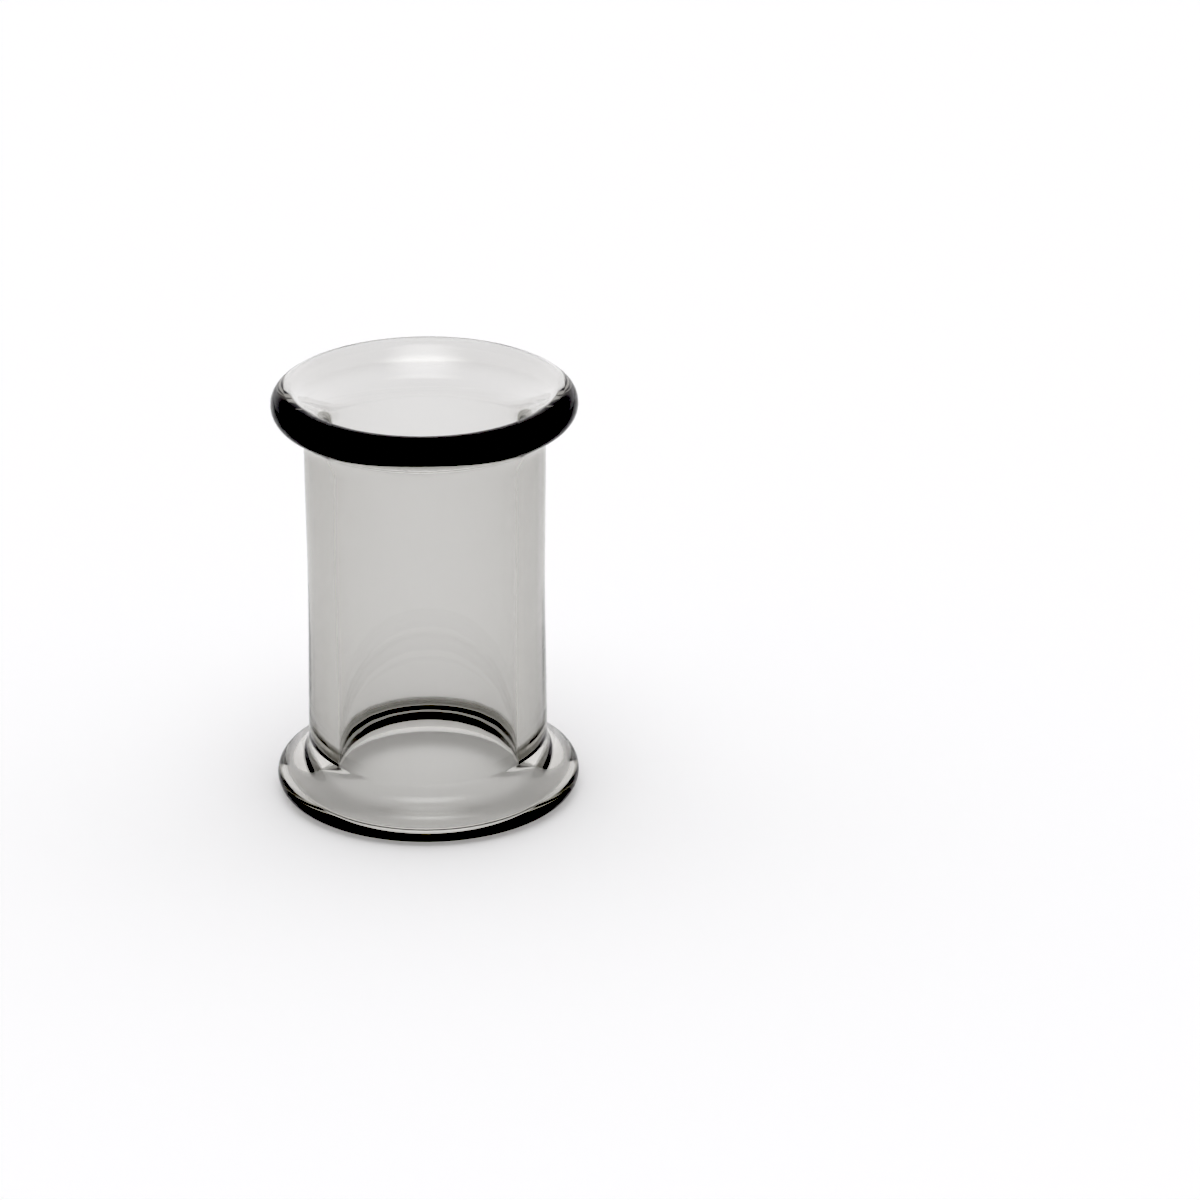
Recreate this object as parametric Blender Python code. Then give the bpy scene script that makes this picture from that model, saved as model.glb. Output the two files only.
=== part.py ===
"""Double flare flesh tunnel: one length of smoke-grey borosilicate glass tube, flared at both ends.

The axis of the bore is Z. The origin is the centre of the ring that the lower lip rests on, so the
tunnel stands on Z = 0. Outlines are worked out in millimetres and turned into a mesh in metres.
"""

import math

import bmesh
import bpy

# Driving dimensions, in millimetres and degrees. Angles on the lip run from straight outwards
TUBE_DIAMETER = 8.0  # 0 gauge, the size that the lobe is stretched to
BORE_DIAMETER = 6.0
LENGTH = 14.35
FLARE_DIAMETER = 10.14
LIP_RADIUS = 0.56  # the edge draws up into a round bead when it is fire polished
LAND_WIDTH = 0.2  # flat ring on each lip, where it was set down hot
WAIST = 0.05  # how far the tube's outer radius dips at mid-length

# Where the bead runs out into the wall, how far below the bead's middle the flare leaves the tube,
# and how far the bend keeps its first direction at the bead and at the tube
OUTER_FACE = {"lip_angle": -68.0, "rise": 1.51, "lip_handle": 0.64, "tube_handle": 0.55}
UPPER_BORE = {"lip_angle": 128.0, "rise": 1.10, "lip_handle": 0.95, "tube_handle": 0.40}
LOWER_BORE = {"lip_angle": 109.0, "rise": 0.92, "lip_handle": 0.90, "tube_handle": 0.06}

# Facets
TURN_STEPS = 48
BEND_STEPS = 7
LIP_STEPS = 9
BEAD_TOP_STEPS = 2
TUBE_STEPS = 6
SHARP_ANGLE = 40.0

METRES_PER_MM = 0.001

# The glass, as linear colour
SMOKE_GREY = (0.62, 0.63, 0.61, 1.0)
GLASS_IOR = 1.47
GLASS_ROUGHNESS = 0.02

LIP_CENTRE_RADIUS = FLARE_DIAMETER / 2 - LIP_RADIUS
LAND_HALF_ANGLE = math.degrees(math.asin(LAND_WIDTH / 2 / LIP_RADIUS))
LIP_CENTRE_HEIGHT = LENGTH / 2 - LIP_RADIUS * math.cos(math.radians(LAND_HALF_ANGLE))


def clear_objects():
    for old in list(bpy.data.objects):
        bpy.data.objects.remove(old)


def on_lip(angle):
    """Radius and height above mid-length of a point on the upper lip's bead."""
    turn = math.radians(angle)
    radius = LIP_CENTRE_RADIUS + LIP_RADIUS * math.cos(turn)
    height = LIP_CENTRE_HEIGHT + LIP_RADIUS * math.sin(turn)
    return radius, height


def lip_arc(start, stop, steps):
    return [on_lip(start + (stop - start) * step / steps) for step in range(steps + 1)]


def bend_between(start, start_handle, stop_handle, stop):
    """Points of a Bezier bend between two points, without its first one."""
    points = []
    for step in range(1, BEND_STEPS + 1):
        share = step / BEND_STEPS
        rest = 1.0 - share
        weights = (rest ** 3, 3 * rest * rest * share, 3 * rest * share * share, share ** 3)
        corners = (start, start_handle, stop_handle, stop)
        radius = sum(weight * corner[0] for weight, corner in zip(weights, corners))
        height = sum(weight * corner[1] for weight, corner in zip(weights, corners))
        points.append((radius, height))
    return points


def flare_bend(face, side, tube_radius):
    """Points down one face of the flaring wall, from the bead to the tube: side 1 is the outer
    face, side -1 the face of the bore."""
    turn = math.radians(face["lip_angle"])
    start = on_lip(face["lip_angle"])
    across = side * math.sin(turn) * face["lip_handle"]
    down = side * math.cos(turn) * face["lip_handle"]
    start_handle = (start[0] + across, start[1] - down)
    stop = (tube_radius, LIP_CENTRE_HEIGHT - face["rise"])
    stop_handle = (tube_radius, stop[1] + face["tube_handle"])
    return bend_between(start, start_handle, stop_handle, stop)


def over_the_flare(bore_face):
    """One end of the outline, as the upper one: up the bore's face, over the bead and its flat
    land, and down the outer face to the tube."""
    down_the_bore = flare_bend(bore_face, -1, BORE_DIAMETER / 2)
    down_the_outside = flare_bend(OUTER_FACE, 1, TUBE_DIAMETER / 2)
    bore_side = lip_arc(bore_face["lip_angle"], 90.0 + LAND_HALF_ANGLE, BEAD_TOP_STEPS)
    outer_side = lip_arc(90.0 - LAND_HALF_ANGLE, OUTER_FACE["lip_angle"], LIP_STEPS)
    return list(reversed(down_the_bore)) + bore_side + outer_side + down_the_outside


def waisted_side():
    """Points down the outer side between the two flares."""
    top = LIP_CENTRE_HEIGHT - OUTER_FACE["rise"]
    points = []
    for step in range(1, TUBE_STEPS):
        share = 1.0 - 2.0 * step / TUBE_STEPS
        dip = WAIST * math.cos(math.pi / 2 * share) ** 2
        points.append((TUBE_DIAMETER / 2 - dip, share * top))
    return points


def outline():
    """The closed outline of half a section through the axis, outer side from top to bottom and
    then straight up the bore."""
    upper_end = over_the_flare(UPPER_BORE)
    lower_end = [(radius, -height) for radius, height in reversed(over_the_flare(LOWER_BORE))]
    return upper_end + waisted_side() + lower_end


def glass_material():
    material = bpy.data.materials.new("smoke_grey_borosilicate_glass")
    material.use_nodes = True
    shader = material.node_tree.nodes["Principled BSDF"]
    shader.inputs["Base Color"].default_value = SMOKE_GREY
    shader.inputs["Metallic"].default_value = 0.0
    shader.inputs["Roughness"].default_value = GLASS_ROUGHNESS
    shader.inputs["IOR"].default_value = GLASS_IOR
    shader.inputs["Transmission Weight"].default_value = 1.0
    return material


def turn_outline(name, points, material):
    """Spins a closed outline about Z and returns the object, with its faces outwards."""
    shape = bmesh.new()
    ring = []
    for radius, height in points:
        x = radius * METRES_PER_MM
        z = (height + LENGTH / 2) * METRES_PER_MM
        ring.append(shape.verts.new((x, 0.0, z)))
    edges = [shape.edges.new((ring[i - 1], ring[i])) for i in range(len(ring))]
    bmesh.ops.spin(
        shape,
        geom=ring + edges,
        cent=(0.0, 0.0, 0.0),
        axis=(0.0, 0.0, 1.0),
        angle=math.tau,
        steps=TURN_STEPS,
        use_merge=True,
    )
    bmesh.ops.recalc_face_normals(shape, faces=shape.faces[:])
    mesh = bpy.data.meshes.new(name)
    shape.to_mesh(mesh)
    shape.free()
    mesh.shade_smooth()
    mesh.set_sharp_from_angle(angle=math.radians(SHARP_ANGLE))
    mesh.materials.append(material)
    turned = bpy.data.objects.new(name, mesh)
    bpy.context.scene.collection.objects.link(turned)
    return turned


def main():
    clear_objects()
    turn_outline("glass_tunnel", outline(), glass_material())


main()
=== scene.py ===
import math

import bmesh
import bpy
from mathutils import Matrix, Vector


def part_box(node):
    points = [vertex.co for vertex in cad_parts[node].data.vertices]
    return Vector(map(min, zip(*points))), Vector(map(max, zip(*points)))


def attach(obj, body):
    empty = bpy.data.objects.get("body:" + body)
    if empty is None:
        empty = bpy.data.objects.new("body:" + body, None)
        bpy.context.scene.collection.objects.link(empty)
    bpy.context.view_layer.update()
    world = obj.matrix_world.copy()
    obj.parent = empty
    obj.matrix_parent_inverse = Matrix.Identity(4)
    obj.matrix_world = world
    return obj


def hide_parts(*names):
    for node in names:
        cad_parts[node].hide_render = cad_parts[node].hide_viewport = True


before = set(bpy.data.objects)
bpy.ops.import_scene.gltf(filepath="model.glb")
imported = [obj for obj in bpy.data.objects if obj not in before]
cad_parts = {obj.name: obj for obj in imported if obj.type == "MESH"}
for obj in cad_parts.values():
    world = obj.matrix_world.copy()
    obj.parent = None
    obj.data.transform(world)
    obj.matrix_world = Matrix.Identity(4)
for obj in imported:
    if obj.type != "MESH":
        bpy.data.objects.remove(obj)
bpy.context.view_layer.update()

METRES_PER_MM = 0.001
TUNNEL_NODE = "glass_tunnel"

# Section of the tunnel in millimetres and degrees. Length and flare come from the frame
LOW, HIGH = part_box(TUNNEL_NODE)
LENGTH = (HIGH.z - LOW.z) / METRES_PER_MM
FLARE_RADIUS = (HIGH.x - LOW.x) / 2 / METRES_PER_MM
TUBE_RADIUS = 4.0
BORE_RADIUS = 3.0
LIP_RADIUS = 0.56
LAND_WIDTH = 0.2
WAIST = 0.05

# Where the bead runs out into the wall, how far below the bead's middle the flare leaves the tube,
# and how far the bend keeps its first direction at the bead and at the tube
OUTER_FACE = {"lip_angle": -68.0, "rise": 1.51, "lip_handle": 0.64, "tube_handle": 0.55}
UPPER_BORE = {"lip_angle": 128.0, "rise": 1.10, "lip_handle": 0.95, "tube_handle": 0.40}
LOWER_BORE = {"lip_angle": 109.0, "rise": 0.92, "lip_handle": 0.90, "tube_handle": 0.06}

LIP_CENTRE_RADIUS = FLARE_RADIUS - LIP_RADIUS
LAND_HALF_ANGLE = math.degrees(math.asin(LAND_WIDTH / 2 / LIP_RADIUS))
LIP_CENTRE_HEIGHT = LENGTH / 2 - LIP_RADIUS * math.cos(math.radians(LAND_HALF_ANGLE))

# Steps of the smooth surface: round the turn, along each bend, round the outside and the bore side of
# each bead, and down the tube
TURN_STEPS = 288
BEND_STEPS = 32
BEAD_STEPS = 40
BEAD_BORE_STEPS = 10
TUBE_STEPS = 24

# What drawing the tube and working it in a flame leave: long, shallow waves, each with its size in
# millimetres, its count round the turn, its count along the length and its start in degrees
HAND_WAVES = (
    (0.0040, 2, 0.0, 35.0),
    (0.0025, 3, 1.0, 110.0),
    (0.0015, 5, 2.0, 250.0),
    (0.0010, 9, 3.0, 20.0),
    (0.0003, 31, 0.0, 70.0),
)

# The smoke tint: what is left of white light after four millimetres of the glass, and what one skin
# of it lets through of the light that casts its shadow
SMOKE_DEPTH_MM = 4.0
SMOKE_TINT = "#aeada8"
TINT_DENSITY = 4000.0
GLASS_IOR = 1.49
SHADOW_CLEARNESS = "#eeeeee"

# The room's brightness from the back horizon over the top to the camera's side, and a little more at
# the sides, from one share of straight sideways to another
ROOM_BRIGHTNESS = (1.22, 1.07, 0.86, 0.69, 0.50, 0.37, 0.31)
ROOM_COLOUR = "#fefdff"
SIDE_BRIGHTNESS = 0.10
SIDE_START = 0.35
SIDE_FULL = 0.80

# One big soft light, hung a little forward of straight overhead. Its size is as seen from the glass,
# as shares of the sky's radius, and it fades from its core to its edge, as shares of its size
SOFTBOX_BRIGHTNESS = 2.4
SOFTBOX_ELEVATION = 72.0
SOFTBOX_HALF_WIDTH = 0.38
SOFTBOX_HALF_DEPTH = 0.27
SOFTBOX_CORE = 0.3
SOFTBOX_EDGE = 1.4

# The paper, and its glow as a share of full white: a painted pool of light under the bore, out to one
# distance from the axis, and an even glow everywhere past another. Its half size is in metres
WHITE = "#ffffff"
PAPER_COLOUR = "#f7f7f7"
PAPER_ROUGHNESS = 0.9
PAPER_GLOW = 0.075
PAINTED_BORE_LIGHT = 0.21
PAINTED_BORE_LIGHT_INNER_MM = 2.6
PAINTED_BORE_LIGHT_OUTER_MM = 3.8
FLOOR_HALF_SIZE = 2.0
FLOOR_GAP_MM = 0.02

# The print of the picture: how the photograph's blacks and whites were set
BLACK_LEVEL = 0.15
WHITE_CLIP = 0.956
EXPOSURE = 0.14

# The camera, matched to the photograph's 1200 pixel frame
FRAME_PIXELS = 1200
SENSOR_MM = 36.0
CAMERA_ELEVATION = 23.2
CAMERA_DISTANCE_MM = 212.2
FOCAL_PIXELS = 30.0 * CAMERA_DISTANCE_MM
CENTRE_PIXEL = (426.65, 585.32)
NEAREST_METRES = 0.001
FARTHEST_METRES = 10.0

# How far light is followed: through the glass, between paper and glass, and in a shadow
GLASS_BOUNCES = 40
PAPER_BOUNCES = 6
SHADOW_CROSSINGS = 32
SURE_BOUNCES = 12
SPARKLE_LIMIT = 4.0


def linear(hex_code):
    """A colour written as sRGB hex, as linear RGBA."""
    channels = []
    for start in (1, 3, 5):
        value = int(hex_code[start:start + 2], 16) / 255
        channels.append(value / 12.92 if value <= 0.04045 else ((value + 0.055) / 1.055) ** 2.4)
    return (*channels, 1.0)


def add_node(tree, kind, settings=None, links=None):
    """Adds a shader node, with values for its settings or sockets and links into its sockets."""
    made = tree.nodes.new(kind)
    for name, value in (settings or {}).items():
        if isinstance(name, int) or name in made.inputs:
            made.inputs[name].default_value = value
        else:
            setattr(made, name, value)
    for name, output in (links or {}).items():
        tree.links.new(output, made.inputs[name])
    return made


def new_material(name):
    """A material with no nodes in it yet."""
    material = bpy.data.materials.new(name)
    material.use_nodes = True
    material.node_tree.nodes.clear()
    return material


def link_object(name, data):
    """An object in the scene, made from a mesh or a camera."""
    made = bpy.data.objects.new(name, data)
    bpy.context.scene.collection.objects.link(made)
    return made


def bend_between(start, start_handle, stop_handle, stop):
    """Points of a Bezier bend between two points, without its first one."""
    points = []
    for step in range(1, BEND_STEPS + 1):
        t = step / BEND_STEPS
        u = 1.0 - t
        weights = (u ** 3, 3 * u * u * t, 3 * u * t * t, t ** 3)
        corners = (start, start_handle, stop_handle, stop)
        points.append(tuple(sum(w * c[axis] for w, c in zip(weights, corners)) for axis in (0, 1)))
    return points


def on_lip(angle):
    """Radius and height above mid-length of a point on the upper lip's bead."""
    turn = math.radians(angle)
    radius = LIP_CENTRE_RADIUS + LIP_RADIUS * math.cos(turn)
    height = LIP_CENTRE_HEIGHT + LIP_RADIUS * math.sin(turn)
    return (radius, height)


def lip_arc(start, stop, steps):
    return [on_lip(start + (stop - start) * step / steps) for step in range(steps + 1)]


def flare_bend(face, side, tube_radius):
    """The wall's curve from the lip to the tube: side 1 is the outer face, -1 the bore's."""
    turn = math.radians(face["lip_angle"])
    start = on_lip(face["lip_angle"])
    across = side * math.sin(turn) * face["lip_handle"]
    down = side * math.cos(turn) * face["lip_handle"]
    stop = (tube_radius, LIP_CENTRE_HEIGHT - face["rise"])
    stop_handle = (tube_radius, stop[1] + face["tube_handle"])
    return bend_between(start, (start[0] + across, start[1] - down), stop_handle, stop)


def over_the_flare(bore_face):
    """One end of the section, as the upper one, from the tube's bore over the bead to its outside."""
    up_the_bore = list(reversed(flare_bend(bore_face, -1, BORE_RADIUS)))
    down_the_outside = flare_bend(OUTER_FACE, 1, TUBE_RADIUS)
    bore_side = lip_arc(bore_face["lip_angle"], 90.0 + LAND_HALF_ANGLE, BEAD_BORE_STEPS)
    outer_side = lip_arc(90.0 - LAND_HALF_ANGLE, OUTER_FACE["lip_angle"], BEAD_STEPS)
    return up_the_bore + bore_side + outer_side + down_the_outside


def tube_side(start, stop, waist):
    """Points between two flares, leaving both out, on a side that is drawn in at mid-length."""
    points = []
    for step in range(1, TUBE_STEPS):
        share = step / TUBE_STEPS
        radius = start[0] - waist * math.sin(math.pi * share) ** 2
        points.append((radius, start[1] + (stop[1] - start[1]) * share))
    return points


def outline():
    """The closed section, radius and height above mid-length, down the outside and up the bore."""
    upper_end = over_the_flare(UPPER_BORE)
    lower_end = [(radius, -height) for radius, height in reversed(over_the_flare(LOWER_BORE))]
    outside = tube_side(upper_end[-1], lower_end[0], WAIST)
    bore = tube_side(lower_end[-1], upper_end[0], 0.0)
    return upper_end + outside + lower_end + bore


def hand_wave(turn, height):
    """How far hand work leaves the surface from true, in millimetres."""
    along = math.pi * height / LENGTH
    sway = 0.0
    for size, round_count, long_count, start in HAND_WAVES:
        sway += size * math.sin(round_count * turn + math.radians(start)) * math.cos(long_count * along)
    return sway


def worked_glass():
    """The whole tunnel, turned from its outline, with the slight waves of hand work."""
    points = outline()
    shape = bmesh.new()
    rings = []
    for step in range(TURN_STEPS):
        turn = math.tau * step / TURN_STEPS
        ring = []
        for radius, height in points:
            reach = radius + hand_wave(turn, height)
            x = reach * math.cos(turn) * METRES_PER_MM
            y = reach * math.sin(turn) * METRES_PER_MM
            ring.append(shape.verts.new((x, y, (height + LENGTH / 2) * METRES_PER_MM)))
        rings.append(ring)
    for step in range(TURN_STEPS):
        here = rings[step]
        after = rings[(step + 1) % TURN_STEPS]
        for i in range(len(points)):
            shape.faces.new((here[i], here[i - 1], after[i - 1], after[i]))
    bmesh.ops.recalc_face_normals(shape, faces=shape.faces[:])
    mesh = bpy.data.meshes.new("worked_glass")
    shape.to_mesh(mesh)
    shape.free()
    mesh.shade_smooth()
    mesh.materials.append(smoke_glass())
    return link_object("worked_glass", mesh)


def smoke_glass():
    """Borosilicate tube tinted right through and shaped in a flame: the melt pulls its own skin smooth,
    so it is as clear as polished glass and only long paths inside the wall and the lips turn it black."""
    material = new_material("smoke_borosilicate_glass")
    tree = material.node_tree
    glass = add_node(tree, "ShaderNodeBsdfPrincipled", {
        "Base Color": linear(WHITE), "Roughness": 0.0, "IOR": GLASS_IOR, "Transmission Weight": 1.0})
    depth = SMOKE_DEPTH_MM * METRES_PER_MM
    loss_per_metre = [-math.log(left) / depth for left in linear(SMOKE_TINT)[:3]]
    kept = [1.0 - loss / TINT_DENSITY for loss in loss_per_metre]
    smoke = add_node(tree, "ShaderNodeVolumeAbsorption", {
        "Color": (*kept, 1.0), "Density": TINT_DENSITY})
    clear = add_node(tree, "ShaderNodeBsdfTransparent", {"Color": linear(SHADOW_CLEARNESS)})
    path = add_node(tree, "ShaderNodeLightPath")
    mixed = add_node(tree, "ShaderNodeMixShader", None, {
        0: path.outputs["Is Shadow Ray"], 1: glass.outputs[0], 2: clear.outputs[0]})
    add_node(tree, "ShaderNodeOutputMaterial", None, {
        "Surface": mixed.outputs[0], "Volume": smoke.outputs[0]})
    return material


def sweep_paper():
    """Matt white background paper: it scatters light evenly and keeps no reflections. Its glow is the
    room's stray light, and inside the bore a painted pool of light for what the wall guides down to it."""
    material = new_material("matt_white_paper_with_painted_bore_light")
    tree = material.node_tree
    where = add_node(tree, "ShaderNodeTexCoord").outputs["Object"]
    off_axis = add_node(tree, "ShaderNodeVectorMath", {"operation": "LENGTH"}, {0: where})
    # Painted light: the paper glows brighter inside the bore, fading to its even glow across the lip
    paper_glow_and_painted_bore_light = add_node(tree, "ShaderNodeMapRange", {
        "interpolation_type": "SMOOTHSTEP", "From Min": PAINTED_BORE_LIGHT_INNER_MM * METRES_PER_MM,
        "From Max": PAINTED_BORE_LIGHT_OUTER_MM * METRES_PER_MM, "To Min": PAINTED_BORE_LIGHT, "To Max": PAPER_GLOW},
        {"Value": off_axis.outputs["Value"]})
    paper = add_node(tree, "ShaderNodeBsdfPrincipled", {
        "Base Color": linear(PAPER_COLOUR), "Roughness": PAPER_ROUGHNESS, "Specular IOR Level": 0.0,
        "Emission Color": linear(WHITE)}, {"Emission Strength": paper_glow_and_painted_bore_light.outputs["Result"]})
    add_node(tree, "ShaderNodeOutputMaterial", None, {"Surface": paper.outputs[0]})
    return material


def floor():
    """The sheet of paper that the tunnel stands on."""
    half = FLOOR_HALF_SIZE
    z = -FLOOR_GAP_MM * METRES_PER_MM
    corners = [(-half, -half, z), (half, -half, z), (half, half, z), (-half, half, z)]
    mesh = bpy.data.meshes.new("sweep")
    mesh.from_pydata(corners, [], [(0, 1, 2, 3)])
    mesh.materials.append(sweep_paper())
    link_object("sweep", mesh)


def room_light(tree, where):
    """The pale room: graded from the back over the top to the front, and brighter at the sides."""
    parts = add_node(tree, "ShaderNodeSeparateXYZ", None, {0: where})
    height_angle = add_node(tree, "ShaderNodeMath", {"operation": "ARCTAN2"}, {
        0: parts.outputs["Z"], 1: parts.outputs["Y"]})
    share = add_node(tree, "ShaderNodeMapRange", {"From Max": math.pi}, {
        "Value": height_angle.outputs[0]})
    arch = add_node(tree, "ShaderNodeValToRGB", None, {"Fac": share.outputs["Result"]})
    stops = arch.color_ramp.elements
    while len(stops) < len(ROOM_BRIGHTNESS):
        stops.new(1.0)
    for index in range(len(ROOM_BRIGHTNESS)):
        stops[index].position = index / (len(ROOM_BRIGHTNESS) - 1)
    for stop, brightness in zip(stops, ROOM_BRIGHTNESS):
        stop.color = tuple(brightness * channel for channel in linear(ROOM_COLOUR))
    sideways = add_node(tree, "ShaderNodeMath", {"operation": "ABSOLUTE"}, {0: parts.outputs["X"]})
    sides = add_node(tree, "ShaderNodeMapRange", {
        "interpolation_type": "SMOOTHSTEP", "From Min": SIDE_START, "From Max": SIDE_FULL,
        "To Max": SIDE_BRIGHTNESS}, {"Value": sideways.outputs[0]})
    both = add_node(tree, "ShaderNodeVectorMath", {"operation": "ADD"}, {
        0: arch.outputs["Color"], 1: sides.outputs["Result"]})
    return both.outputs[0]


def softbox_light(tree, where):
    """One large light overhead, bright in its middle and fading to its edges."""
    forward = math.cos(math.radians(SOFTBOX_ELEVATION)) / SOFTBOX_HALF_DEPTH
    placed = add_node(tree, "ShaderNodeMapping", {
        "Scale": (1 / SOFTBOX_HALF_WIDTH, 1 / SOFTBOX_HALF_DEPTH, 0.0), "Location": (0.0, forward, 0.0)},
        {"Vector": where})
    off_centre = add_node(tree, "ShaderNodeVectorMath", {"operation": "LENGTH"}, {0: placed.outputs[0]})
    fading = add_node(tree, "ShaderNodeMapRange", {
        "interpolation_type": "SMOOTHSTEP", "From Min": SOFTBOX_CORE, "From Max": SOFTBOX_EDGE,
        "To Min": SOFTBOX_BRIGHTNESS, "To Max": 0.0}, {"Value": off_centre.outputs["Value"]})
    return fading.outputs["Result"]


def studio():
    """The light round the object. The camera itself sees plain white past the edge of the paper."""
    world = bpy.data.worlds.new("studio")
    bpy.context.scene.world = world
    world.use_nodes = True
    tree = world.node_tree
    tree.nodes.clear()
    where = add_node(tree, "ShaderNodeTexCoord").outputs["Generated"]
    light = add_node(tree, "ShaderNodeVectorMath", {"operation": "ADD"}, {
        0: room_light(tree, where), 1: softbox_light(tree, where)})
    around = add_node(tree, "ShaderNodeBackground", None, {"Color": light.outputs[0]})
    behind = add_node(tree, "ShaderNodeBackground", {"Color": linear(WHITE)})
    path = add_node(tree, "ShaderNodeLightPath")
    seen = add_node(tree, "ShaderNodeMixShader", None, {
        0: path.outputs["Is Camera Ray"], 1: around.outputs[0], 2: behind.outputs[0]})
    add_node(tree, "ShaderNodeOutputWorld", None, {"Surface": seen.outputs[0]})


def camera():
    """Looks along the photograph's line, turned so that the tunnel lands off centre as it does there."""
    centre = Vector((0.0, 0.0, LENGTH / 2 * METRES_PER_MM))
    elevation = math.radians(CAMERA_ELEVATION)
    back = Vector((0.0, -math.cos(elevation), math.sin(elevation)))
    place = centre + back * CAMERA_DISTANCE_MM * METRES_PER_MM
    right = Vector((1.0, 0.0, 0.0))
    up = right.cross(-back)
    across = (CENTRE_PIXEL[0] - FRAME_PIXELS / 2) / FOCAL_PIXELS
    above = (FRAME_PIXELS / 2 - CENTRE_PIXEL[1]) / FOCAL_PIXELS
    forward = (-back - right * across - up * above).normalized()
    level = forward.cross(Vector((0.0, 0.0, 1.0))).normalized()
    lens = bpy.data.cameras.new("camera")
    lens.sensor_width = SENSOR_MM
    lens.lens = FOCAL_PIXELS / FRAME_PIXELS * SENSOR_MM
    lens.clip_start = NEAREST_METRES
    lens.clip_end = FARTHEST_METRES
    made = link_object("camera", lens)
    turned = Matrix((level, level.cross(forward), -forward)).transposed().to_4x4()
    made.matrix_world = Matrix.Translation(place) @ turned
    bpy.context.scene.camera = made


def print_of_the_picture():
    """Blacks and whites as in the photograph: dark glass falls to black and the paper clips evenly."""
    view = bpy.context.scene.view_settings
    view.view_transform = "Standard"
    view.exposure = EXPOSURE
    view.use_curve_mapping = True
    mapping = view.curve_mapping
    mapping.black_level = (BLACK_LEVEL, BLACK_LEVEL, BLACK_LEVEL)
    points = mapping.curves[3].points
    points[0].location = (0.0, 0.0)
    points[1].location = (1.0, WHITE_CLIP)
    points.new(WHITE_CLIP, WHITE_CLIP)
    for point in points:
        point.handle_type = "VECTOR"
    mapping.extend = "HORIZONTAL"
    mapping.update()


def long_light_paths():
    """Light crosses the wall many times inside a lip, so it needs many bounces."""
    cycles = bpy.context.scene.cycles
    cycles.max_bounces = GLASS_BOUNCES
    cycles.glossy_bounces = GLASS_BOUNCES
    cycles.transmission_bounces = GLASS_BOUNCES
    cycles.diffuse_bounces = PAPER_BOUNCES
    cycles.transparent_max_bounces = SHADOW_CROSSINGS
    cycles.min_light_bounces = SURE_BOUNCES
    cycles.sample_clamp_indirect = SPARKLE_LIMIT


camera()
floor()
studio()
print_of_the_picture()
long_light_paths()
tunnel = worked_glass()
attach(tunnel, "root")
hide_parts(TUNNEL_NODE)
